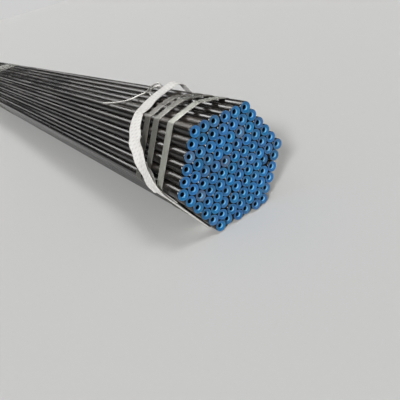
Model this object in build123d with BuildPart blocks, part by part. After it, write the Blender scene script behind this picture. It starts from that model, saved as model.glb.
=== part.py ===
from build123d import *
import os
from math import atan2, cos, degrees, pi, radians, sin, tan

os.makedirs("parts", exist_ok=True)

# A hexagonal bundle of one-inch steel pipes lying on one of its flat sides.
# The pipes run along Y, the near ends are at -Y, and the floor is at Z = 0.
# The origin is on the floor, under the bundle's axis, at half the length.
# Round things that repeat have few sides, to keep so large a bundle light.

# Pipe: nominal one inch, 33.4 mm outside, 6.35 mm wall, cut to 5.8 m
pipe_od = 33.4
pipe_wall = 6.35
pipe_length = 5800.0
pipe_gap = 0.3
pipe_sides = 16
bore_sides = 8

# Six pipes along each side of the hexagon, so five rings around the middle pipe
pipes_per_side = 6

# Plastic end plug: a round flange over the pipe's end, sunk in the middle
plug_od = 33.0
plug_flange = 3.0
plug_mouth = 18.0
plug_mouth_depth = 2.6
plug_sides = 10
mouth_sides = 6
plug_seat_gap = 0.1

# Hidden inner pipes: one plain hexagonal core
core_gap = 0.3

# Steel strapping, and the crimp seals that join it
strap_width = 32.0
strap_thickness = 0.9
strap_gap = 0.2
strap_depths = (97.0, 178.0, 232.0)
middle_strap_places = (-150.0, -50.0, 50.0, 150.0)
seal_length = 38.0
seal_thickness = 1.0
seal_gap = 0.15
middle_seal_places = (30.0, -30.0, 10.0, -10.0)

# The straps near the ends are slack, and stand off the top side in an arch of flat
# runs. Each of their seals is in the middle of one run, counted from the right.
arch_rise = 18.0
arch_runs = 4
arch_fullness = 1.4
seal_runs = (1, 2, 2)

# Webbing sling: one band round the bundle near each end, sewn where it laps
sling_width = 50.0
sling_thickness = 2.5
sling_gap = 0.3
sling_lap = 90.0
sling_ply_gap = 0.15
sling_pressed = 0.3

# Worked out from the sizes above
pitch = pipe_od + pipe_gap
rings = pipes_per_side - 1
side_length = rings * pitch
side_distance = side_length * cos(radians(30)) + pipe_od / 2
sling_clearance = strap_gap + strap_thickness + sling_gap
axis_height = side_distance + sling_clearance + sling_thickness - sling_pressed
near_end = -pipe_length / 2
far_end = pipe_length / 2


def section(y, towards=-1):
    """The plane across the bundle at y with Z up, facing the near or the far end."""
    return Plane(origin=(0, y, axis_height), x_dir=(-towards, 0, 0), z_dir=(0, towards, 0))


def corner(index):
    """The centre of a corner pipe, counted anticlockwise from the right corner."""
    return Vector(side_length, 0).rotate(Axis.Z, 60 * index)


def side_centres(index):
    """The pipe centres of one flat side, from its first corner up to the next one."""
    start = corner(index)
    step = (corner(index + 1) - start) / rings
    return [start + step * count for count in range(rings)]


def all_centres():
    """The centres of every pipe, ring by ring, from the middle pipe outwards."""
    centres = [Vector(0, 0)]
    for ring in range(1, pipes_per_side):
        for side in range(6):
            start = corner(side) * (ring / rings)
            step = (corner(side + 1) - corner(side)) / rings
            centres += [start + step * count for count in range(ring)]
    return centres


def band_outline(stand_off):
    """A hexagon this far out from the pipes, cut off flat round the corner pipes."""
    RegularPolygon(side_distance + stand_off, 6, major_radius=False)
    corner_cut = (pipe_od / 2 + stand_off) * (tan(radians(30)) - tan(radians(15)))
    chamfer(vertices(), corner_cut)


def arch_point(run):
    """Where an arch's flat runs meet: its place across, and its height off the side."""
    share = run / arch_runs
    return side_length * (0.5 - share), arch_rise * sin(pi * share) ** arch_fullness


def arch_room(stand_off):
    """The room under a slack strap's arch, on the top side at this stand-off."""
    seat = side_distance + stand_off
    edge = [arch_point(run) for run in range(arch_runs + 1)]
    Polygon(*[(place, seat + height) for place, height in edge], align=None)


def save(part, name):
    """Label a finished piece and write it as its own STEP file."""
    part.label = name
    export_step(part, f"parts/{name}.step")


# Outer pipes, one node for each flat side of the bundle
side_names = (
    "pipes_upper_right",
    "pipes_top",
    "pipes_upper_left",
    "pipes_lower_left",
    "pipes_bottom",
    "pipes_lower_right",
)
for side, side_name in enumerate(side_names):
    with BuildPart() as outer_pipes:
        with BuildSketch(section(near_end)):
            with Locations(*side_centres(side)):
                RegularPolygon(pipe_od / 2, pipe_sides)
                RegularPolygon(pipe_od / 2 - pipe_wall, bore_sides, mode=Mode.SUBTRACT)
        extrude(amount=-pipe_length)
    save(outer_pipes.part, side_name)

# Inner pipes as one core, which ends flush with the pipes
with BuildPart() as pipe_core:
    with BuildSketch(section(near_end)):
        RegularPolygon(side_distance - pipe_od - core_gap, 6, major_radius=False)
    extrude(amount=-pipe_length)
save(pipe_core.part, "inner_pipe_core")

# End plug, made once with its back at Z = 0 and its face up
with BuildPart() as plug:
    with BuildSketch():
        RegularPolygon(plug_od / 2, plug_sides)
    extrude(amount=plug_flange)
    with BuildSketch(Plane.XY.offset(plug_flange)) as mouth:
        RegularPolygon(plug_mouth / 2, mouth_sides)
    mouth_bottom = Vertex(0, 0, plug_flange - plug_mouth_depth)
    loft([mouth.sketch.face(), mouth_bottom], mode=Mode.SUBTRACT)

# A plug in every pipe, at both ends
for end_name, end_plane in (
    ("plugs_near_end", section(near_end - plug_seat_gap)),
    ("plugs_far_end", section(far_end + plug_seat_gap, towards=1)),
):
    with BuildPart() as end_plugs:
        with Locations(end_plane):
            with Locations(*all_centres()):
                add(plug.part)
    save(end_plugs.part, end_name)

# Steel straps, tight round the pipes. Each has its place along the bundle, and its
# seal's place across the top side, height off it and slope.
straps = {}
for number, (depth, run) in enumerate(zip(strap_depths, seal_runs), start=1):
    right_place, right_height = arch_point(run)
    left_place, left_height = arch_point(run + 1)
    seal_middle = (right_place + left_place) / 2, (right_height + left_height) / 2
    slope = degrees(atan2(right_height - left_height, right_place - left_place))
    straps[f"strap_near_{number}"] = (near_end + depth, *seal_middle, slope)
    straps[f"strap_far_{number}"] = (far_end - depth, *seal_middle, slope)
for number, (place, seal_x) in enumerate(zip(middle_strap_places, middle_seal_places), start=1):
    straps[f"strap_middle_{number}"] = (place, seal_x, 0, 0)
for strap_name, (strap_y, seal_x, lift, slope) in straps.items():
    with BuildPart() as strap:
        with BuildSketch(section(strap_y)):
            band_outline(strap_gap + strap_thickness)
            if lift:
                arch_room(strap_gap + strap_thickness)
        extrude(amount=strap_width / 2, both=True)
        with BuildSketch(section(strap_y)):
            band_outline(strap_gap)
            if lift:
                arch_room(strap_gap)
        extrude(amount=strap_width / 2, both=True, mode=Mode.SUBTRACT)
    save(strap.part, strap_name)

# Crimp seals, clipped over the straps on the top side
seal_inside = strap_width + 2 * seal_gap
seal_outside = seal_inside + 2 * seal_thickness
seal_room = strap_thickness + seal_gap
floor_align = (Align.CENTER, Align.MIN)
with BuildPart() as seals:
    for strap_y, seal_x, lift, slope in straps.values():
        seat = Vector(seal_x, strap_y, axis_height + side_distance + strap_gap + lift)
        along = Vector(1, 0, 0).rotate(Axis.Y, -slope)
        with BuildSketch(Plane(origin=seat, x_dir=(0, 1, 0), z_dir=along)):
            Rectangle(seal_outside, seal_room + seal_thickness, align=floor_align)
            Rectangle(seal_inside, seal_room, align=floor_align, mode=Mode.SUBTRACT)
        extrude(amount=seal_length / 2, both=True)
save(seals.part, "strap_seals")

# Webbing sling. Each stop says which way the webbing faces, in degrees, where its
# middle line is across the bundle, and how far that is behind the pipes' ends.
# A depth of None is filled in evenly between the stops on both sides of it.
first_ply = sling_clearance + sling_thickness / 2
second_ply = first_ply + sling_thickness + sling_ply_gap
corner_turn = 15

# How much the depth changes on each side of a corner's middle, all but nil where the
# webbing lies tight
corner_drift = (0.1, 0.1, 0.1, 8.0, 0.1, 0.1)

# Depths at the corner pipes, counted from the right one, and at the ends of the lap
corner_depths = (250.0, 369.0, 291.0, 84.0, 62.0, 105.0)
lap_start_depth = 180.0
lap_end_depth = 215.0
lap_step_share = 0.2

# Slack stretches on the three upper sides: share of the side, stand-off and depth
upper_right_slack = ((0.35, 9.0, 300.0), (0.70, 17.0, 342.0))
top_slack = ((0.15, 19.0, 366.0), (0.50, 12.0, 350.0), (0.80, 5.0, 320.0))
upper_left_slack = (
    (0.20, 20.0, 263.0),
    (0.40, 28.0, 236.0),
    (0.54, 30.0, 206.0),
    (0.70, 24.0, 170.0),
    (0.88, 17.0, 131.0),
)

# Stand-offs at the two corners where the sling is slack
top_right_slack = 22.0
left_slack = 7.5


def side_stop(index, share, stand_off, depth=None):
    """A stop on the flat side after this corner, at a share of the side's length."""
    facing = 60 * index + 30
    along = corner(index) + (corner(index + 1) - corner(index)) * share
    return facing, along + Vector(pipe_od / 2 + stand_off, 0).rotate(Axis.Z, facing), depth


def corner_stop(index, turn, stand_off, depth=None):
    """A stop at a corner pipe, this many degrees round from the corner's middle."""
    facing = 60 * index + turn
    reach = (pipe_od / 2 + stand_off) / cos(radians(corner_turn))
    return facing, corner(index) + Vector(reach, 0).rotate(Axis.Z, facing), depth


def round_corner(index, stand_off=first_ply):
    """Two stops that take the webbing round a corner pipe."""
    return [
        corner_stop(index, -corner_turn, stand_off, corner_depths[index] + corner_drift[index]),
        corner_stop(index, corner_turn, stand_off, corner_depths[index] - corner_drift[index]),
    ]


def filled(stops):
    """The stops' points in space, with the missing depths filled in."""
    travel = [0.0]
    for before, after in zip(stops, stops[1:]):
        travel.append(travel[-1] + (after[1] - before[1]).length)
    known = [index for index, stop in enumerate(stops) if stop[2] is not None]
    points = []
    for index, (facing, place, depth) in enumerate(stops):
        if depth is None:
            low = max(spot for spot in known if spot < index)
            high = min(spot for spot in known if spot > index)
            share = (travel[index] - travel[low]) / (travel[high] - travel[low])
            depth = stops[low][2] + (stops[high][2] - stops[low][2]) * share
        points.append(Vector(place.X, near_end + depth, axis_height + place.Y))
    return points


lap_share = sling_lap / 2 / side_length
stops = [side_stop(5, 0.5 - lap_share, first_ply, lap_start_depth)]
stops += round_corner(0)
stops += [side_stop(0, *numbers) for numbers in upper_right_slack]
stops += round_corner(1, top_right_slack)
stops += [side_stop(1, *numbers) for numbers in top_slack]
stops += round_corner(2)
stops += [side_stop(2, *numbers) for numbers in upper_left_slack]
stops += round_corner(3, left_slack)
stops += round_corner(4) + round_corner(5)
stops += [side_stop(5, lap_step_share, second_ply)]
stops += [side_stop(5, 0.5 + lap_share, second_ply, lap_end_depth)]
points = filled(stops)

# The far sling mirrors the near one. Both are pressed flat under the bundle's weight.
for sling_name, end in (("sling_near", 1), ("sling_far", -1)):
    with BuildPart() as sling:
        for index, (stop, point) in enumerate(zip(stops, points)):
            ahead = points[min(index + 1, len(points) - 1)] - points[max(index - 1, 0)]
            stretch = ahead.length / Vector(ahead.X, 0, ahead.Z).length
            along = Vector(1, 0, 0).rotate(Axis.Y, -stop[0] - 90)
            middle = Vector(point.X, end * point.Y, point.Z)
            with BuildSketch(Plane(origin=middle, x_dir=(0, 1, 0), z_dir=along)):
                Rectangle(sling_width * stretch, sling_thickness)
        loft(ruled=True)
        split(bisect_by=Plane.XY, keep=Keep.TOP)
    save(sling.part, sling_name)
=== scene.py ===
"""The looks of a hexagonal bundle of one-inch steel pipes, in metres.

The pipes run along Y with their near ends at -Y, and the floor is at Z = 0.
"""

import math
import random

import bpy
import numpy as np
from mathutils import Matrix, Vector


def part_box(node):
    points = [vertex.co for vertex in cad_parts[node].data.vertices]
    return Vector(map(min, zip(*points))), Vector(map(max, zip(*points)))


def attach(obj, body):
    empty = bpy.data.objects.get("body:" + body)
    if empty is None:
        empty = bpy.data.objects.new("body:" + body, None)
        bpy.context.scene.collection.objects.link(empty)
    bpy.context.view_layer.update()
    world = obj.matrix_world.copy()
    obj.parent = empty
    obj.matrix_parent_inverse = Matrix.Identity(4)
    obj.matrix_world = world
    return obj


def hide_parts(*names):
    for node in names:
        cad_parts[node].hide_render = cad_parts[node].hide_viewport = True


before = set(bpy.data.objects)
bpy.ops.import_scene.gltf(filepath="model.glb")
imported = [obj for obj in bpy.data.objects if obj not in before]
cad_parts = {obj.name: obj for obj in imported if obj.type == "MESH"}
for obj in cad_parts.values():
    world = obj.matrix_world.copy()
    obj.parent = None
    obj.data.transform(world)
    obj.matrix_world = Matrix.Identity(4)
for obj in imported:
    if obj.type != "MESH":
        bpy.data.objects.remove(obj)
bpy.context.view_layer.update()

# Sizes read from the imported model
top_low, top_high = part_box("pipes_top")
core_low, core_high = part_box("inner_pipe_core")
rings = 5
pipe_radius = (top_high.z - top_low.z) / 2
pitch = (top_high.x - top_low.x - 2 * pipe_radius) / (rings - 1)
row_height = pitch * math.cos(math.radians(30))
near_end = top_low.y
far_end = top_high.y
near_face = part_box("plugs_near_end")[0].y
far_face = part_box("plugs_far_end")[1].y
axis_height = (core_low.z + core_high.z) / 2

# Sizes of the pieces that are modelled here
pipe_wall = 0.00635
pipe_segments = 48
plug_segments = 36
strap_gap = 0.0002
strap_thickness = 0.0009
seal_length = 0.038
seal_thickness = 0.001
seal_gap = 0.00015
middle_seal_places = (0.030, -0.030, 0.010, -0.010)
sling_width = 0.050
sling_thickness = 0.0025
sling_gap = 0.0003
sling_lap = 0.090
sling_ply_gap = 0.00015


# Shapes


def grid_faces(rows, columns, close_rows=False):
    """The quads that join closed rows of points, and if asked the last row to the first."""
    faces = []
    for row in range(rows if close_rows else rows - 1):
        for column in range(columns):
            row_after = (row + 1) % rows * columns
            column_after = (column + 1) % columns
            faces.append(
                (
                    row * columns + column,
                    row * columns + column_after,
                    row_after + column_after,
                    row_after + column,
                )
            )
    return faces


def capped_faces(rows, columns):
    """The same quads, with a cap on the first row and one on the last."""
    first_cap = tuple(reversed(range(columns)))
    last_cap = tuple(range((rows - 1) * columns, rows * columns))
    return grid_faces(rows, columns) + [first_cap, last_cap]


def shifted(faces, first):
    """The same faces, for points that are numbered from this one on."""
    return [tuple(first + index for index in face) for face in faces]


def turned(profile, segments):
    """The points of a profile of (radius, height) turned round the Z axis."""
    angles = np.linspace(0, 2 * math.pi, segments, endpoint=False)
    rows = [
        np.column_stack(
            (radius * np.cos(angles), radius * np.sin(angles), np.full(segments, height))
        )
        for radius, height in profile
    ]
    return np.concatenate(rows)


def moved(points, matrix):
    """A copy of the points, moved by a 4 x 4 matrix."""
    matrix = np.array(matrix)
    return points @ matrix[:3, :3].T + matrix[:3, 3]


def make_piece(name, points, faces, material, slot, replaced, sharp_angle=35, **attributes):
    """A mesh object that rides on the bundle and stands for the named nodes."""
    mesh = bpy.data.meshes.new(name)
    mesh.from_pydata(np.asarray(points).tolist(), [], faces)
    for attribute, values in attributes.items():
        layer = mesh.attributes.new(attribute, "FLOAT", "POINT")
        layer.data.foreach_set("value", np.asarray(values, dtype=np.float32))
    mesh.shade_smooth()
    mesh.set_sharp_from_angle(angle=math.radians(sharp_angle))
    mesh.materials.append(material)
    piece = bpy.data.objects.new(name, mesh)
    bpy.context.scene.collection.objects.link(piece)
    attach(piece, "root")
    if replaced:
        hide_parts(*replaced)


def across(angle, distance):
    """A vector across the bundle, at an angle in degrees from +X towards +Z."""
    turn = math.radians(angle)
    return Vector((math.cos(turn) * distance, 0, math.sin(turn) * distance))


def corner(index):
    """A corner pipe's place across the bundle, counted anticlockwise from the right."""
    return across(60 * index, rings * pitch)


# Materials


class Finish:
    """A material's node tree, with short calls for the nodes that are used here."""

    def __init__(self, name):
        self.material = bpy.data.materials.new(name)
        self.material.use_nodes = True
        self.tree = self.material.node_tree
        self.shader = self.tree.nodes["Principled BSDF"]
        place = self.tree.nodes.new("ShaderNodeTexCoord")
        self.place = place.outputs["Object"]

    def link(self, source, target):
        """Joins an output to an input, or sets the input to a plain value."""
        if isinstance(source, bpy.types.NodeSocket):
            self.tree.links.new(source, target)
        elif isinstance(source, tuple) and len(source) == 3 and len(target.default_value) == 4:
            target.default_value = (*source, 1)
        else:
            target.default_value = source

    def noise(self, stretch, detail=4.0, roughness=0.55, place=None):
        """A noise texture, with so many features a metre along X, Y and Z."""
        mapping = self.tree.nodes.new("ShaderNodeMapping")
        mapping.inputs["Scale"].default_value = stretch
        self.link(place or self.place, mapping.inputs["Vector"])
        noise = self.tree.nodes.new("ShaderNodeTexNoise")
        noise.inputs["Scale"].default_value = 1
        noise.inputs["Detail"].default_value = detail
        noise.inputs["Roughness"].default_value = roughness
        self.link(mapping.outputs["Vector"], noise.inputs["Vector"])
        return noise.outputs["Fac"]

    def math(self, operation, first, second=0.0, clamp=False):
        """The result of one Math node."""
        node = self.tree.nodes.new("ShaderNodeMath")
        node.operation = operation
        node.use_clamp = clamp
        self.link(first, node.inputs[0])
        self.link(second, node.inputs[1])
        return node.outputs[0]

    def wave(self, operation, value, length):
        """A sine or cosine wave along a value in metres, with this wavelength."""
        return self.math(operation, self.math("MULTIPLY", value, 2 * math.pi / length))

    def spread(self, value, low, high, new_low=0.0, new_high=1.0):
        """The value mapped smoothly from one range onto another, and kept inside it."""
        node = self.tree.nodes.new("ShaderNodeMapRange")
        node.interpolation_type = "SMOOTHSTEP"
        self.link(value, node.inputs["Value"])
        node.inputs["From Min"].default_value = low
        node.inputs["From Max"].default_value = high
        node.inputs["To Min"].default_value = new_low
        node.inputs["To Max"].default_value = new_high
        return node.outputs["Result"]

    def mix(self, factor, first, second):
        """A colour between two colours."""
        node = self.tree.nodes.new("ShaderNodeMix")
        node.data_type = "RGBA"
        self.link(factor, node.inputs["Factor"])
        self.link(first, node.inputs["A"])
        self.link(second, node.inputs["B"])
        return node.outputs["Result"]

    def attribute(self, name):
        """A number that is stored at the mesh's points."""
        node = self.tree.nodes.new("ShaderNodeAttribute")
        node.attribute_name = name
        return node.outputs["Fac"]

    def parts(self, vector):
        """A vector's X, Y and Z."""
        node = self.tree.nodes.new("ShaderNodeSeparateXYZ")
        self.link(vector, node.inputs["Vector"])
        return node.outputs["X"], node.outputs["Y"], node.outputs["Z"]

    def joined(self, first, second):
        """A vector of two numbers along X and Y."""
        node = self.tree.nodes.new("ShaderNodeCombineXYZ")
        self.link(first, node.inputs["X"])
        self.link(second, node.inputs["Y"])
        return node.outputs["Vector"]

    def facing(self):
        """The surface's direction."""
        node = self.tree.nodes.new("ShaderNodeNewGeometry")
        return node.outputs["Normal"]

    def bump(self, height, distance, strength):
        """Raises the surface by a height from 0 to 1, at this distance in metres."""
        node = self.tree.nodes.new("ShaderNodeBump")
        node.inputs["Strength"].default_value = strength
        node.inputs["Distance"].default_value = distance
        self.link(height, node.inputs["Height"])
        self.link(node.outputs["Normal"], self.shader.inputs["Normal"])

    def set(self, **values):
        """Sets the shader's inputs, with _ for a space in their names."""
        for name, value in values.items():
            self.link(value, self.shader.inputs[name.replace("_", " ")])


def pipe_finish():
    """Black varnish, streaked along the pipe and dusty on top and near the ends."""
    finish = Finish("pipe_varnish")
    streaks = finish.noise((150, 1.4, 150), detail=5)
    scuffs = finish.noise((850, 9, 850), detail=6, roughness=0.7)
    patches = finish.noise((9, 3, 9), detail=5)
    tone = finish.attribute("tone")
    _, _, up = finish.parts(finish.facing())
    _, along, height = finish.parts(finish.place)
    from_middle = finish.math("ABSOLUTE", along)
    settled = finish.spread(up, 0.3, 1.0)
    near = finish.spread(from_middle, far_end - 0.8, far_end - 0.1, 0.25, 0.75)
    fourth_row = axis_height + 4 * row_height
    on_top_row = finish.spread(height, fourth_row, fourth_row + row_height, 0.35, 1.0)
    lying = finish.math("MULTIPLY", finish.math("MULTIPLY", settled, near), on_top_row)
    dusty = finish.math("MULTIPLY", finish.spread(patches, 0.30, 0.60, 0.1, 1.0), lying)
    streaky = finish.math("MULTIPLY", finish.spread(streaks, 0.5, 0.75), 0.20)
    dust = finish.math("ADD", dusty, streaky, clamp=True)
    bare = finish.math("MULTIPLY", finish.spread(scuffs, 0.62, 0.76), 0.35)
    varnish = finish.mix(tone, (0.003, 0.003, 0.003), (0.009, 0.008, 0.008))
    dusted = finish.mix(dust, varnish, (0.048, 0.040, 0.031))
    colour = finish.mix(bare, dusted, (0.050, 0.046, 0.042))
    rough = finish.math(
        "ADD", finish.spread(streaks, 0.3, 0.7, 0.11, 0.24), finish.math("MULTIPLY", dust, 0.45)
    )
    finish.set(Base_Color=colour, Roughness=rough, Specular_IOR_Level=0.4)
    finish.bump(finish.math("ADD", scuffs, streaks), 0.0003, 0.25)
    return finish.material


def plug_finish():
    """Blue moulded plastic with a little dust, a different tone on each plug, a painted highlight on the
    rim and on the cup's lip, and painted shade deep in the cup and in the seam round the flange.
    """
    finish = Finish("plug_plastic")
    tone = finish.attribute("tone")
    grime = finish.attribute("grime")
    depth = finish.attribute("depth")
    fine = finish.noise((420, 420, 420), detail=5, roughness=0.65)
    clouds = finish.noise((60, 60, 60), detail=4)
    rim = finish.attribute("rim")
    hue = finish.spread(finish.noise((19, 19, 19), detail=1), 0.35, 0.65)
    deep = finish.mix(hue, (0.006, 0.092, 0.220), (0.015, 0.088, 0.250))
    bright = finish.mix(hue, (0.008, 0.150, 0.345), (0.019, 0.138, 0.375))
    blue = finish.mix(tone, deep, bright)
    worn = finish.math("MULTIPLY", finish.spread(clouds, 0.35, 0.75), 0.35)
    faded = finish.mix(worn, blue, (0.035, 0.195, 0.400))
    # Painted highlight: the rim is lightened towards pale blue
    painted_rim_highlight = finish.mix(finish.math("MULTIPLY", rim, 0.3), faded, (0.120, 0.330, 0.620))
    specks = finish.math(
        "ADD", grime, finish.math("MULTIPLY", finish.spread(fine, 0.56, 0.72), 0.12), clamp=True
    )
    soiled = finish.mix(specks, painted_rim_highlight, (0.105, 0.115, 0.140))
    # Painted shade: the seam round the flange is darkened to near black, as the shadow between
    # neighbouring plugs
    seam_shaded = finish.mix(finish.attribute("seam"), soiled, (0.003, 0.011, 0.022))
    # Painted highlight: the cup's lip is lightened to pale blue, as its lit inner wall
    lip_highlight = finish.spread(depth, 0.0022, 0.0038)
    pale = finish.mix(finish.math("MULTIPLY", lip_highlight, 0.9), seam_shaded, (0.200, 0.560, 0.900))
    # Painted shade: deeper than the lip the cup's wall turns near black, as the shadow inside the cup
    inside = finish.spread(depth, 0.0055, 0.0090)
    colour = finish.mix(inside, pale, (0.003, 0.007, 0.014))
    rough = finish.math(
        "ADD", finish.spread(clouds, 0.3, 0.7, 0.26, 0.38), finish.math("MULTIPLY", grime, 0.4)
    )
    finish.set(Base_Color=colour, Roughness=rough, Specular_IOR_Level=0.35)
    finish.bump(fine, 0.0003, 0.35)
    return finish.material


def strap_finish():
    """Dull zinc-coated steel with scratches along it and stains across it."""
    finish = Finish("strap_zinc")
    along = finish.attribute("along")
    side = finish.attribute("across")
    place = finish.joined(along, side)
    scratches = finish.noise((18, 1600, 1), detail=6, roughness=0.7, place=place)
    stains = finish.noise((34, 60, 1), detail=5, place=place)
    spangle = finish.noise((320, 320, 1), detail=3, place=place)
    tone = finish.attribute("tone")
    edge = finish.spread(finish.math("ABSOLUTE", side), 0.0135, 0.0162)
    flecks = finish.spread(spangle, 0.35, 0.65)
    light = finish.mix(flecks, (0.290, 0.300, 0.265), (0.350, 0.355, 0.315))
    dark = finish.mix(flecks, (0.060, 0.057, 0.050), (0.110, 0.105, 0.092))
    zinc = finish.mix(tone, dark, light)
    worn_edge = finish.mix(finish.math("MULTIPLY", edge, 0.35), zinc, (0.420, 0.415, 0.380))
    stain = finish.math("MULTIPLY", finish.spread(stains, 0.45, 0.75), 0.45)
    stained = finish.mix(stain, worn_edge, (0.090, 0.083, 0.068))
    rust = finish.math("MULTIPLY", finish.math("MULTIPLY", edge, finish.spread(stains, 0.35, 0.6)), 0.15)
    colour = finish.mix(rust, stained, (0.150, 0.075, 0.035))
    rough = finish.spread(scratches, 0.3, 0.7, 0.40, 0.60)
    finish.set(Base_Color=colour, Roughness=rough, Metallic=0.35)
    finish.bump(scratches, 0.0002, 0.3)
    return finish.material


def webbing_finish():
    """Off-white woven polyester: fine ribs across it, twill lines and light soiling, with painted shade
    in the weave's grooves and along the band's edges.
    """
    finish = Finish("webbing_weave")
    along = finish.attribute("along")
    side = finish.attribute("across")
    rib = finish.wave("SINE", along, 0.0035)
    yarns = finish.wave("SINE", side, 0.0021)
    rows = finish.wave("COSINE", along, 0.0140)
    slanted = finish.math("ADD", side, finish.math("MULTIPLY", along, 0.2))
    dashes = finish.wave("COSINE", slanted, 0.0330)
    bricks = finish.math("MULTIPLY", rows, dashes)
    weave = finish.math("ADD", finish.math("MULTIPLY", rib, 0.5), finish.math("MULTIPLY", yarns, 0.25))
    woven = finish.math("SUBTRACT", weave, finish.math("MULTIPLY", bricks, 0.15))
    place = finish.joined(along, side)
    soil = finish.noise((14, 40, 1), detail=5, place=place)
    fuzz = finish.noise((900, 900, 1), detail=4, roughness=0.7, place=place)
    edge = finish.spread(finish.math("ABSOLUTE", side), 0.0205, 0.0245)
    # Painted shade: the weave's grooves are darkened
    dark = finish.spread(woven, -0.9, 0.6, 0.42, 0.0)
    # Real soiling in patches, plus painted shade along the band's edges
    soiled = finish.math(
        "ADD", finish.math("MULTIPLY", finish.spread(soil, 0.45, 0.75), 0.25),
        finish.math("MULTIPLY", edge, 0.12), clamp=True,
    )
    white = finish.mix(fuzz, (0.760, 0.745, 0.715), (0.890, 0.875, 0.845))
    shaded = finish.mix(dark, white, (0.330, 0.320, 0.300))
    dashed = finish.mix(finish.spread(bricks, 0.3, 0.8, 0.0, 0.24), shaded, (0.330, 0.310, 0.290))
    sewn = finish.attribute("sewn")
    thread_rows = finish.wave("SINE", side, 0.0075)
    stitches = finish.wave("SINE", along, 0.0060)
    thread_lines = finish.math("MULTIPLY", finish.spread(thread_rows, 0.80, 0.95), sewn)
    thread = finish.math("MULTIPLY", thread_lines, finish.spread(stitches, -0.5, 0.0))
    threaded = finish.mix(thread, dashed, (0.120, 0.115, 0.105))
    colour = finish.mix(soiled, threaded, (0.330, 0.300, 0.250))
    finish.set(Base_Color=colour, Roughness=0.85, Specular_IOR_Level=0.25, Sheen_Weight=0.15)
    finish.bump(finish.math("SUBTRACT", woven, finish.math("MULTIPLY", thread, 1.5)), 0.0007, 0.7)
    return finish.material


def wire_finish():
    """Bright zinc-coated wire."""
    finish = Finish("wire_zinc")
    specks = finish.noise((600, 600, 600), detail=4)
    colour = finish.mix(finish.spread(specks, 0.35, 0.65), (0.320, 0.310, 0.290), (0.480, 0.470, 0.440))
    finish.set(Base_Color=colour, Roughness=0.42, Metallic=0.3)
    return finish.material


varnish = pipe_finish()
plastic = plug_finish()
zinc = strap_finish()
webbing = webbing_finish()
wire = wire_finish()


# Where the pipes are


def ring_places(ring):
    """The places of one ring of pipes across the bundle."""
    if ring == 0:
        return [Vector((0, 0, 0))]
    places = []
    for side in range(6):
        start = corner(side) * (ring / rings)
        step = (corner(side + 1) - corner(side)) / rings
        places += [start + step * count for count in range(ring)]
    return places


def side_places(side):
    """The places of one flat side of the outer ring, from its first corner on."""
    return ring_places(rings)[side * rings : (side + 1) * rings]


def lattice(place):
    """A pipe's place in pitches to the right of the middle, and in rows above it."""
    return round(place.x / pitch, 1), round(place.z / row_height)


# Pipes that stand back from the rest, by their place in pitches and rows
stand_back = {
    (3.5, -1): 0.013,
    (0.5, -5): 0.008,
    (-1.5, -5): 0.011,
    (-1.5, -3): 0.008,
    (-1.0, -2): 0.007,
    (3.0, -4): 0.006,
    (2.5, -5): 0.008,
    (-2.5, 1): 0.006,
    (-0.5, 5): 0.007,
    (-1.5, 5): 0.006,
}
uneven = 0.0028
dice = random.Random(7)
all_places = [place for ring in range(rings + 1) for place in ring_places(ring)]
near_backs = {}
far_backs = {}
tones = {}
for place in all_places:
    spot = lattice(place)
    near_backs[spot] = stand_back.get(spot, dice.uniform(0, uneven))
    far_backs[spot] = dice.uniform(0, 3 * uneven)
    tones[spot] = dice.random()
for index in range(6):
    spot = lattice(corner(index))
    near_backs[spot] = stand_back.get(spot, 0)
    far_backs[spot] = 0


# Pipes


def pipe_shape(place):
    """One pipe's points, from its near end to its far end and back through its bore."""
    spot = lattice(place)
    low = near_end + near_backs[spot]
    high = far_end - far_backs[spot]
    bevel = 0.0008
    bore = pipe_radius - pipe_wall
    profile = (
        (pipe_radius - bevel, low),
        (pipe_radius, low + bevel),
        (pipe_radius, high - bevel),
        (pipe_radius - bevel, high),
        (bore, high),
        (bore, low),
    )
    points = turned(profile, pipe_segments)
    stood = np.column_stack((points[:, 0], points[:, 2], points[:, 1]))
    return stood + np.array((place.x, 0, axis_height + place.z))


def make_pipes(name, places, node):
    """Some of the pipes as one mesh that stands for a node."""
    rows = 6
    one_set = [face[::-1] for face in grid_faces(rows, pipe_segments, close_rows=True)]
    points, faces, tone = [], [], []
    for count, place in enumerate(places):
        points.append(pipe_shape(place))
        faces += shifted(one_set, count * rows * pipe_segments)
        tone += [tones[lattice(place)]] * (rows * pipe_segments)
    make_piece(name, np.concatenate(points), faces, varnish, "pipe_steel", [node], tone=tone)


side_nodes = (
    "pipes_upper_right",
    "pipes_top",
    "pipes_upper_left",
    "pipes_lower_left",
    "pipes_bottom",
    "pipes_lower_right",
)
for side, node in enumerate(side_nodes):
    make_pipes(node.replace("pipes", "steel_pipes"), side_places(side), node)
inner_places = [place for ring in range(rings) for place in ring_places(ring)]
make_pipes("steel_pipes_inner", inner_places, "inner_pipe_core")


# End plugs

# Radius and depth behind the front, in millimetres, from the middle of the cup out to
# the rim and back down the stem
plug_profile = [(radius / 1000, depth / 1000) for radius, depth in (
    (5.2, 22.6), (6.5, 21.6), (6.8, 19.5), (7.0, 13.0), (7.2, 8.0), (7.4, 4.6),
    (7.7, 3.2), (8.4, 2.4), (9.4, 2.0), (12.0, 1.25), (14.5, 0.45), (15.2, 0.10),
    (15.9, 0.0), (16.35, 0.25), (16.5, 0.8), (16.5, 2.7), (16.2, 3.0), (10.1, 3.0),
    (9.9, 8.0), (9.5, 24.0),
)]

# How many of these points are in the cup, from the first on
cup_points = 8

# The depth of the flange's back, which sits on the pipe's end
flange_back = 0.0030

# The radii between which the rim is painted lighter as a highlight, and from which on the seam is
# painted dark as shade between the plugs
rim_inner = 0.0150
rim_outer = 0.0160
seam_inner = 0.0162

# A plug's largest tilt in degrees, the most that it is smaller, and the share of plugs
# that are dirty
plug_tilt = 1.2
plug_shrinkage = 0.012
dirty_share = 0.05


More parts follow.
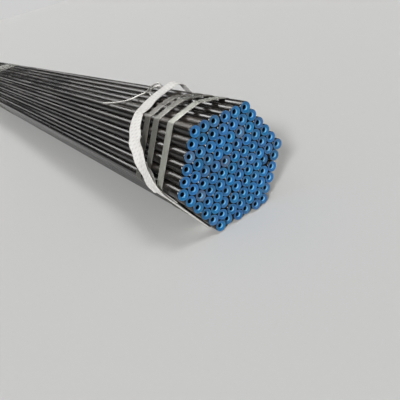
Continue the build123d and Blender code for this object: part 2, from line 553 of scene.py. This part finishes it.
def make_plugs(name, node, places, backs, face_y, inward, seed):
    """All the plugs of one end as one mesh. Inward is +1 at the near end, -1 at the far one."""
    dice = random.Random(seed)
    shape = turned(plug_profile, plug_segments)
    one_set = capped_faces(len(plug_profile), plug_segments)
    if inward > 0:
        one_set = [face[::-1] for face in one_set]
    radius = np.hypot(shape[:, 0], shape[:, 1])
    in_cup = np.arange(len(shape)) < cup_points * plug_segments
    depth = np.where(in_cup, shape[:, 2], 0)
    # Masks for the painted rim highlight and for the painted shade in the seam round the flange
    on_rim = np.where((radius > rim_inner) & (radius < rim_outer), 1.0, 0.0)
    in_seam = np.where(radius > seam_inner, 1.0, 0.0)
    on_flange = (radius > rim_outer) & (shape[:, 2] <= flange_back)
    points, faces, tone, grime, depths = [], [], [], [], []
    for count, place in enumerate(places):
        nod = Matrix.Rotation(math.radians(dice.uniform(-plug_tilt, plug_tilt)), 4, "X")
        lean = Matrix.Rotation(math.radians(dice.uniform(-plug_tilt, plug_tilt)), 4, "Y")
        spin = Matrix.Rotation(dice.uniform(0, 2 * math.pi), 4, "Z")
        stretched = shape.copy()
        stretched[:, :2] *= 1 + dice.uniform(-plug_shrinkage, 0.0)
        local = moved(stretched, nod @ lean @ spin)
        local[:, 2] += flange_back - local[on_flange, 2].max()
        back = backs[lattice(place)]
        local_y = face_y + inward * (local[:, 2] + back)
        local_z = axis_height + place.z + local[:, 1]
        points.append(np.column_stack((place.x + local[:, 0], local_y, local_z)))
        faces += shifted(one_set, count * len(shape))
        tone += [dice.random()] * len(shape)
        soiled = 0.55 if dice.random() < dirty_share else max(0, dice.uniform(-0.25, 0.20))
        grime += [soiled + (0.15 if back > 2 * uneven else 0)] * len(shape)
        depths += depth.tolist()
    make_piece(
        name, np.concatenate(points), faces, plastic, "plug_plastic", [node], sharp_angle=50,
        tone=tone, grime=grime, depth=depths,
        rim=np.tile(on_rim, len(places)), seam=np.tile(in_seam, len(places)),
    )


make_plugs("end_plugs_near", "plugs_near_end", all_places, near_backs, near_face, 1, 11)
make_plugs("end_plugs_far", "plugs_far_end", all_places, far_backs, far_face, -1, 23)


# Bands: straps and slings


def band_profile(width, thickness, columns):
    """A flat band's section as (sideways, outwards), round at its edges, as one loop."""
    half = width / 2
    edge = thickness / 2
    flat = half - edge
    places = np.linspace(-flat, flat, columns)
    turns = np.radians((45, 90, 135))
    loop = [(side, edge) for side in places]
    loop += [(flat + edge * math.sin(turn), edge * math.cos(turn)) for turn in turns]
    loop += [(-side, -edge) for side in places]
    loop += [(-flat - edge * math.sin(turn), -edge * math.cos(turn)) for turn in turns]
    return loop


def make_band(name, path, twists, width, thickness, columns, material, slot, replaced, **numbers):
    """A band that runs along a path round the bundle, twisted by so many radians."""
    path = np.array([tuple(point) for point in path])
    count = len(path)
    ahead = np.gradient(path, axis=0)
    ahead /= np.linalg.norm(ahead, axis=1)[:, None]
    outward = np.column_stack((ahead[:, 2], np.zeros(count), -ahead[:, 0]))
    outward /= np.linalg.norm(outward, axis=1)[:, None]
    sideways = np.cross(ahead, outward)
    turn = np.asarray(twists)[:, None]
    turned_side = sideways * np.cos(turn) + outward * np.sin(turn)
    turned_out = outward * np.cos(turn) - sideways * np.sin(turn)
    steps = np.linalg.norm(np.diff(path, axis=0), axis=1)
    travel = np.concatenate(((0,), np.cumsum(steps)))
    loop = band_profile(width, thickness, columns)
    points, along, side = [], [], []
    for index in range(count):
        for sidewise, out in loop:
            points.append(path[index] + turned_side[index] * sidewise + turned_out[index] * out)
            along.append(travel[index])
            side.append(sidewise)
    faces = capped_faces(count, len(loop))
    spread = {key: np.broadcast_to(value, len(points)) for key, value in numbers.items()}
    make_piece(
        name, points, faces, material, slot, replaced, sharp_angle=60, along=along, across=side, **spread
    )


def round_corner(index, stand_off, depth, steps):
    """Points round a corner pipe, from one flat side to the next, at this depth."""
    turns = [60 * index - 30 + 60 * step / steps for step in range(steps + 1)]
    return [
        corner(index) + across(turn, pipe_radius + stand_off) + Vector((0, depth, 0))
        for turn in turns
    ]


def in_frame(points, end):
    """Points whose Y is a depth behind the pipes' ends, put at the near or the far end."""
    return [Vector((point.x, end * (near_end + point.y), axis_height + point.z)) for point in points]


# Straps

side_length = rings * pitch
side_distance = rings * row_height + pipe_radius
half_seal = seal_length / 2 / side_length
strap_middle = strap_gap + strap_thickness / 2
strap_columns = 4
strap_width = 0.032
strap_ply_gap = 0.0001

# A slack strap's arch: its flat runs, how full it is, and half a bend as a share of the side
arch_runs = 4
arch_fullness = 1.4
bend_reach = 0.02

# The loose tail: its length, and how far its tip springs up
tail_length = 0.030
tail_spring = 0.0022

# How far the end underneath reaches past the seal, and over what share of the side the
# strap above it then sinks to its seat, which it reaches at this share at the latest
overlap = 0.009
landing_share = 0.12
latest_landing = 0.98

# The shares of the top side between which a strap's path has points on it
side_start = 0.03
side_end = 0.985

# How light the near straps are, from the dark colour at 0 to the light zinc colour at 1
strap_tones = {"strap_near_1": 1.0, "strap_near_2": 0.25, "strap_near_3": 0.05}

# How far along the top side each strap's seal is, as a share of the side
strap_nodes = {}
for group in ("near", "far"):
    for number, run in ((1, 1), (2, 2), (3, 2)):
        strap_nodes[f"strap_{group}_{number}"] = (run + 0.5) / arch_runs
for number, place in enumerate(middle_seal_places, start=1):
    strap_nodes[f"strap_middle_{number}"] = 0.5 - place / side_length


def arch_height(share, rise):
    """A slack strap's height off the top side: flat runs, with soft bends between them."""
    knots = np.linspace(0, 1, arch_runs + 1)
    heights = rise * np.sin(np.pi * knots) ** arch_fullness
    nearby = np.clip(share + np.linspace(-bend_reach, bend_reach, 9), 0, 1)
    return float(np.interp(nearby, knots, heights).mean())


def on_top(share, rise, layer):
    """A point on the strap's middle line over the top side, this far above its seat."""
    place = corner(1).lerp(corner(2), share)
    height = strap_middle + arch_height(share, rise) + layer
    return place + across(90, pipe_radius + height)


def strap_seat(node):
    """A strap's place along the bundle, and how far its arch rises off the top side."""
    low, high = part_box(node)
    rise = max(high.z - axis_height - side_distance - strap_gap - strap_thickness, 0)
    return (low.y + high.y) / 2, rise


def strap_path(seal_share, rise):
    """From the loose tail through the seal, round the bundle and back under the tail."""
    layer = strap_thickness + strap_ply_gap
    tip = seal_share - half_seal - tail_length / side_length
    resting = seal_share + half_seal + overlap / side_length
    landed = min(resting + landing_share, latest_landing)
    path = []
    for share in np.linspace(tip, side_end, 50):
        sprung = max(0, seal_share - half_seal - share) * side_length / tail_length
        landing = min(max((share - resting) / (landed - resting), 0), 1)
        above = layer * (1 - landing**2 * (3 - 2 * landing)) + tail_spring * sprung**2
        path.append(on_top(share, rise, above))
    for index in (2, 3, 4, 5, 0, 1):
        path += round_corner(index, strap_middle, depth=0, steps=8)
    path += [on_top(share, rise, 0) for share in np.linspace(side_start, resting, 40)]
    return path


dice = random.Random(5)
for node, seal_share in strap_nodes.items():
    y, rise = strap_seat(node)
    path = [Vector((point.x, y, axis_height + point.z)) for point in strap_path(seal_share, rise)]
    make_band(
        node.replace("strap", "steel_strap"), path, [0] * len(path), strap_width, strap_thickness,
        strap_columns, zinc, "strap_steel", [node], tone=strap_tones.get(node, dice.uniform(0.2, 0.9)),
    )


# Crimp seals

# The notches: how far from the seal's middle they are, half their length, their depth,
# where they start beside the middle line, and over what width they grow deep
notch_place = 0.0095
notch_half = 0.0028
notch_depth = 0.0010
notch_inner = 0.0095
notch_reach = 0.006

# The bevel of the top's edges, half the width of the top that is divided evenly, and the
# rows along the seal
seal_bevel = 0.0006
seal_flat = 0.0135
seal_rows = 39


def seal_shape():
    """One seal about its middle, along X: a clip over the strap, with two pairs of notches."""
    room = 2 * strap_thickness + seal_gap
    half = strap_width / 2 + seal_gap + seal_thickness
    top = room + seal_thickness
    outside = [(-half, 0), (-half, top - seal_bevel), (-half + seal_bevel, top)]
    outside += [(side, top) for side in np.linspace(-seal_flat, seal_flat, 10)]
    outside += [(half - seal_bevel, top), (half, top - seal_bevel), (half, 0)]
    inner_half = half - seal_thickness
    inside = [(inner_half, 0), (inner_half, room), (notch_inner, room)]
    inside += [(-side, height) for side, height in reversed(inside)]
    profile = outside + inside
    points = []
    for along in np.linspace(seal_length / 2, -seal_length / 2, seal_rows):
        notch = math.exp(-(((abs(along) - notch_place) / notch_half) ** 4))
        for side, height in profile:
            grown = min(max((abs(side) - notch_inner) / notch_reach, 0), 1)
            pressed = notch_depth * (notch * grown)
            shift = math.copysign(pressed, side)
            points.append((along, side - shift, height - pressed * (height > room / 2)))
    return np.array(points), capped_faces(seal_rows, len(profile))


def make_seals():
    """All the seals as one mesh, each on its strap's slope."""
    shape, one_set = seal_shape()
    points, faces, tone = [], [], []
    for count, (node, seal_share) in enumerate(strap_nodes.items()):
        y, rise = strap_seat(node)
        before = on_top(seal_share + half_seal, rise, -strap_thickness / 2)
        after = on_top(seal_share - half_seal, rise, -strap_thickness / 2)
        middle = (before + after) / 2
        slope = math.atan2(after.z - before.z, after.x - before.x)
        turn = Matrix.Rotation(-slope, 4, "Y")
        seat = Matrix.Translation((middle.x, y, axis_height + middle.z))
        points.append(moved(shape, seat @ turn))
        faces += shifted(one_set, count * len(shape))
        tone += [strap_tones.get(node, 0.6)] * len(shape)
    placed = np.concatenate(points)
    across_seal = np.tile(shape[:, 1], len(strap_nodes))
    make_piece(
        "crimp_seals", placed, faces, zinc, "strap_steel", ["strap_seals"],
        sharp_angle=40, along=placed[:, 0], across=across_seal, tone=tone,
    )


make_seals()


# Slings

first_ply = strap_gap + strap_thickness + sling_gap + sling_thickness / 2
second_ply = first_ply + sling_thickness + sling_ply_gap

# Depths at the corners that the sling lies on, and on the lower right side, where it
# laps: where it starts, at a stop before it covers its start again, and where it ends
corner_depths = {0: 0.250, 2: 0.294, 4: 0.062, 5: 0.105}
lap_start_depth = 0.180
before_lap_share = 0.18
before_lap_depth = 0.131
lap_end_depth = 0.215

# Slack stretches: share of the side, stand-off, depth and twist in degrees
upper_right_slack = ((0.35, 0.009, 0.300, 2), (0.70, 0.017, 0.342, 4))
top_slack = (
    (0.15, 0.019, 0.366, 4),
    (0.42, 0.013, 0.355, 2),
    (0.69, 0.007, 0.334, 0),
    (0.86, 0.004, 0.311, 0),
)
upper_left_slack = (
    (0.20, 0.020, 0.265, 3),
    (0.45, 0.032, 0.225, 8),
    (0.70, 0.030, 0.180, 7),
    (0.90, 0.022, 0.140, -8),
)

# Corners that the sling stands off from: stand-off, depth and twist on both sides of
# them, at this turn in degrees
corner_turn = 15
slack_corners = {
    1: ((0.022, 0.368, 5), (0.022, 0.370, 5)),
    3: ((0.012, 0.095, -10), (0.009, 0.090, 0)),
}

# The sling's second layer, which shows under the slack: on the upper left side, at the
# left corner, and on the lower left side where it ends
layer_stretch = (
    (0.70, 0.023, 0.182, 9),
    (0.80, 0.016, 0.182, 9),
    (0.90, 0.008, 0.170, 8),
)
layer_corner = ((0.003, 0.130, 0), (0.003, 0.110, 0))
layer_end = ((0.10, 0.003, 0.095, 0), (0.30, 0.003, 0.080, 0))


def side_stop(index, share, stand_off, depth):
    """A point on the flat side after this corner, at a share of the side's length."""
    along = corner(index).lerp(corner(index + 1), share)
    return along + across(60 * index + 30, pipe_radius + stand_off) + Vector((0, depth, 0))


def filled_in(rows, longest):
    """The same rows of numbers, with even steps added wherever two points lie far apart."""
    filled = [rows[0]]
    for before, after in zip(rows, rows[1:]):
        steps = math.ceil(np.linalg.norm(after[:3] - before[:3]) / longest)
        filled += [before + (after - before) * step / steps for step in range(1, steps + 1)]
    return np.array(filled)


def smooth(points, numbers, step):
    """Evenly spaced points, and numbers, on a smooth curve through the given ones."""
    longest_span = 0.055
    pieces_a_span = 24
    points = np.array([tuple(point) for point in points])
    data = filled_in(np.column_stack((points, numbers)), longest_span)
    points = data[:, :3]
    gaps = np.sqrt(np.linalg.norm(np.diff(points, axis=0), axis=1))
    knots = np.concatenate(((0,), np.cumsum(gaps)))
    slopes = np.gradient(data, knots, axis=0)
    fine = []
    for index in range(len(points) - 1):
        span = knots[index + 1] - knots[index]
        for share in np.linspace(0, 1, pieces_a_span, endpoint=False):
            squared, cubed = share**2, share**3
            fine.append(
                (2 * cubed - 3 * squared + 1) * data[index]
                + (cubed - 2 * squared + share) * span * slopes[index]
                + (3 * squared - 2 * cubed) * data[index + 1]
                + (cubed - squared) * span * slopes[index + 1]
            )
    fine.append(data[-1])
    fine = np.array(fine)
    travel = np.concatenate(((0,), np.cumsum(np.linalg.norm(np.diff(fine[:, :3], axis=0), axis=1))))
    even = np.linspace(0, travel[-1], int(travel[-1] / step))
    return np.column_stack([np.interp(even, travel, fine[:, column]) for column in range(4)])


def side_stops(index, stretch):
    """Points and twists along a stretch of the flat side after this corner."""
    return [(side_stop(index, *numbers), twist) for *numbers, twist in stretch]


def corner_stops(index, pair):
    """Points and twists on both sides of a corner that the webbing stands off from."""
    stops = []
    for turn, (stand_off, depth, twist) in zip((-corner_turn, corner_turn), pair):
        reach = (pipe_radius + stand_off) / math.cos(math.radians(corner_turn))
        place = corner(index) + across(60 * index + turn, reach)
        stops.append((place + Vector((0, depth, 0)), twist))
    return stops


def sling_stops():
    """The sling's stops, from its lap, round the bundle and back over the lap."""
    lap_share = sling_lap / 2 / side_length
    stops = side_stops(5, [(0.5 - lap_share, first_ply, lap_start_depth, 0)])
    slack_sides = {0: upper_right_slack, 1: top_slack, 2: upper_left_slack}
    for index in range(6):
        if index in slack_corners:
            stops += corner_stops(index, slack_corners[index])
        else:
            rounded = round_corner(index, first_ply, corner_depths[index], steps=4)
            if index == 2:
                # The steep slack after it leaves this pipe before it is level with the side
                rounded.pop()
            stops += [(point, 0) for point in rounded]
        stops += side_stops(index, slack_sides.get(index, ()))
    before_lap = (before_lap_share, second_ply, before_lap_depth, 0)
    lap_end = (0.5 + lap_share, second_ply, lap_end_depth, 0)
    return stops + side_stops(5, (before_lap, lap_end))


def layer_stops():
    """The second layer's stops, from under the slack to its end on the lower left side."""
    stops = side_stops(2, layer_stretch) + corner_stops(3, layer_corner)
    return stops + side_stops(3, layer_end)


def make_webbing(name, stops, end, replaced, sewn_length):
    """Webbing through the stops at the near end (1) or the far end (-1), sewn at its last part."""
    step = 0.005
    columns = 12
    twists = [math.radians(twist) for _, twist in stops]
    route = smooth([place for place, _ in stops], twists, step)
    path = in_frame([Vector(row[:3]) for row in route], end)
    lowest = sling_thickness / 2
    path = [Vector((point.x, point.y, max(point.z, lowest))) for point in path]
    lapped = np.arange(len(path)) > len(path) - sewn_length / step
    points_a_row = len(band_profile(sling_width, sling_thickness, columns))
    make_band(
        name, path, end * route[:, 3], sling_width, sling_thickness, columns, webbing, "webbing",
        replaced, sewn=np.repeat(lapped.astype(float), points_a_row),
    )


for group, end in (("near", 1), ("far", -1)):
    make_webbing(f"webbing_sling_{group}", sling_stops(), end, [f"sling_{group}"], sling_lap)
    make_webbing(f"webbing_layer_{group}", layer_stops(), end, [], 0)


# Tie wire

wire_radius = 0.0027
wire_sides = 10
wire_step = 0.002

# A loose end behind the near sling, and the loop beside it: place to the right, depth
# and height over the top side
wire_tail = (
    (-0.10, 0.57, 0.003),
    (-0.07, 0.50, 0.003),
    (-0.04, 0.46, 0.006),
    (0.01, 0.435, 0.015),
    (0.05, 0.465, 0.019),
    (0.08, 0.465, 0.020),
    (0.05, 0.385, 0.005),
)
wire_loop = (
    (0.00, 0.37, 0.003),
    (0.02, 0.43, 0.009),
    (0.05, 0.46, 0.013),
    (0.08, 0.45, 0.012),
    (0.05, 0.375, 0.003),
)


def make_wire(name, routes):
    """Round wire along each route, as one mesh that is added to the bundle."""
    nearly_up = (0.3, 0, 1)
    points, faces = [], []
    for route in routes:
        stops = [Vector((x, depth, side_distance + height)) for x, depth, height in route]
        path = smooth(stops, [0] * len(stops), wire_step)[:, :3]
        placed = np.array([tuple(point) for point in in_frame([Vector(row) for row in path], 1)])
        ahead = np.gradient(placed, axis=0)
        ahead /= np.linalg.norm(ahead, axis=1)[:, None]
        level = np.cross(ahead, nearly_up)
        level /= np.linalg.norm(level, axis=1)[:, None]
        upright = np.cross(level, ahead)
        ring = []
        for turn in np.linspace(0, 2 * math.pi, wire_sides, endpoint=False):
            ring.append(placed + wire_radius * (math.cos(turn) * level - math.sin(turn) * upright))
        faces += shifted(capped_faces(len(placed), wire_sides), sum(len(part) for part in points))
        points.append(np.stack(ring, axis=1).reshape(-1, 3))
    make_piece(name, np.concatenate(points), faces, wire, "strap_steel", [])


make_wire("tie_wire_near", (wire_tail, wire_loop))


# Floor, light and camera


def make_floor():
    """A large pale floor that keeps the object's shadow."""
    reach = 60
    corners = [(-reach, -reach, 0), (reach, -reach, 0), (reach, reach, 0), (-reach, reach, 0)]
    mesh = bpy.data.meshes.new("floor")
    mesh.from_pydata(corners, [], [(0, 1, 2, 3)])
    floor = bpy.data.objects.new("floor", mesh)
    bpy.context.scene.collection.objects.link(floor)
    finish = Finish("floor_paint")
    finish.set(Base_Color=(0.62, 0.62, 0.61), Roughness=0.9, Specular_IOR_Level=0.1)
    mesh.materials.append(finish.material)


def make_world(lit, seen, dim, strip):
    """Even light from all sides, with a long bright strip overhead in the reflections."""
    world = bpy.data.worlds.new("studio")
    world.use_nodes = True
    tree = world.node_tree
    background = tree.nodes["Background"]
    background.inputs["Color"].default_value = (1, 1, 1, 1)

    def ranged(value, low, high, new_low, new_high):
        node = tree.nodes.new("ShaderNodeMapRange")
        node.interpolation_type = "SMOOTHSTEP"
        node.inputs["From Min"].default_value = low
        node.inputs["From Max"].default_value = high
        for number, socket in ((new_low, "To Min"), (new_high, "To Max")):
            if isinstance(number, bpy.types.NodeSocket):
                tree.links.new(number, node.inputs[socket])
            else:
                node.inputs[socket].default_value = number
        tree.links.new(value, node.inputs["Value"])
        return node.outputs["Result"]

    place = tree.nodes.new("ShaderNodeTexCoord")
    parts = tree.nodes.new("ShaderNodeSeparateXYZ")
    tree.links.new(place.outputs["Generated"], parts.inputs["Vector"])
    sideways = tree.nodes.new("ShaderNodeMath")
    sideways.operation = "ABSOLUTE"
    tree.links.new(parts.outputs["X"], sideways.inputs[0])
    above = ranged(parts.outputs["Z"], 0.26, 0.80, dim, strip)
    overhead = ranged(sideways.outputs[0], 0.03, 0.20, above, dim)
    path = tree.nodes.new("ShaderNodeLightPath")
    reflected = ranged(path.outputs["Is Glossy Ray"], 0, 1, lit, overhead)
    strength = ranged(path.outputs["Is Camera Ray"], 0, 1, reflected, seen)
    tree.links.new(strength, background.inputs["Strength"])
    bpy.context.scene.world = world


def add_sun(name, direction, strength, width):
    """A distant lamp that shines along a direction, with this apparent width in degrees."""
    lamp = bpy.data.lights.new(name, "SUN")
    lamp.energy = strength
    lamp.angle = math.radians(width)
    sun = bpy.data.objects.new(name, lamp)
    sun.rotation_euler = Vector(direction).to_track_quat("-Z", "Y").to_euler()
    bpy.context.scene.collection.objects.link(sun)


def add_camera():
    """A camera at the photograph's place: left of the near ends, above them and rolled."""
    right = Vector((0.8022, -0.5433, -0.2475))
    down = Vector((-0.4478, -0.2734, -0.8513))
    forward = Vector((0.3949, 0.7938, -0.4626))
    from_face = Vector((-17.98, -28.67, 15.59)) * pitch
    camera_data = bpy.data.cameras.new("camera")
    camera_data.sensor_width = 36
    camera_data.lens = 40.5
    camera = bpy.data.objects.new("camera", camera_data)
    turn = Matrix((right, -down, -forward)).transposed().to_4x4()
    camera.matrix_world = Matrix.Translation(Vector((0, near_face, axis_height)) + from_face) @ turn
    bpy.context.scene.collection.objects.link(camera)
    bpy.context.scene.camera = camera


make_floor()
make_world(lit=0.30, seen=0.62, dim=0.04, strip=16.0)
add_sun("key_light", (0.64, 0.60, -0.48), strength=2.6, width=9)
add_sun("top_light", (-0.30, 0.25, -1.0), strength=0.8, width=20)
add_camera()
bpy.context.scene.view_settings.view_transform = "Standard"
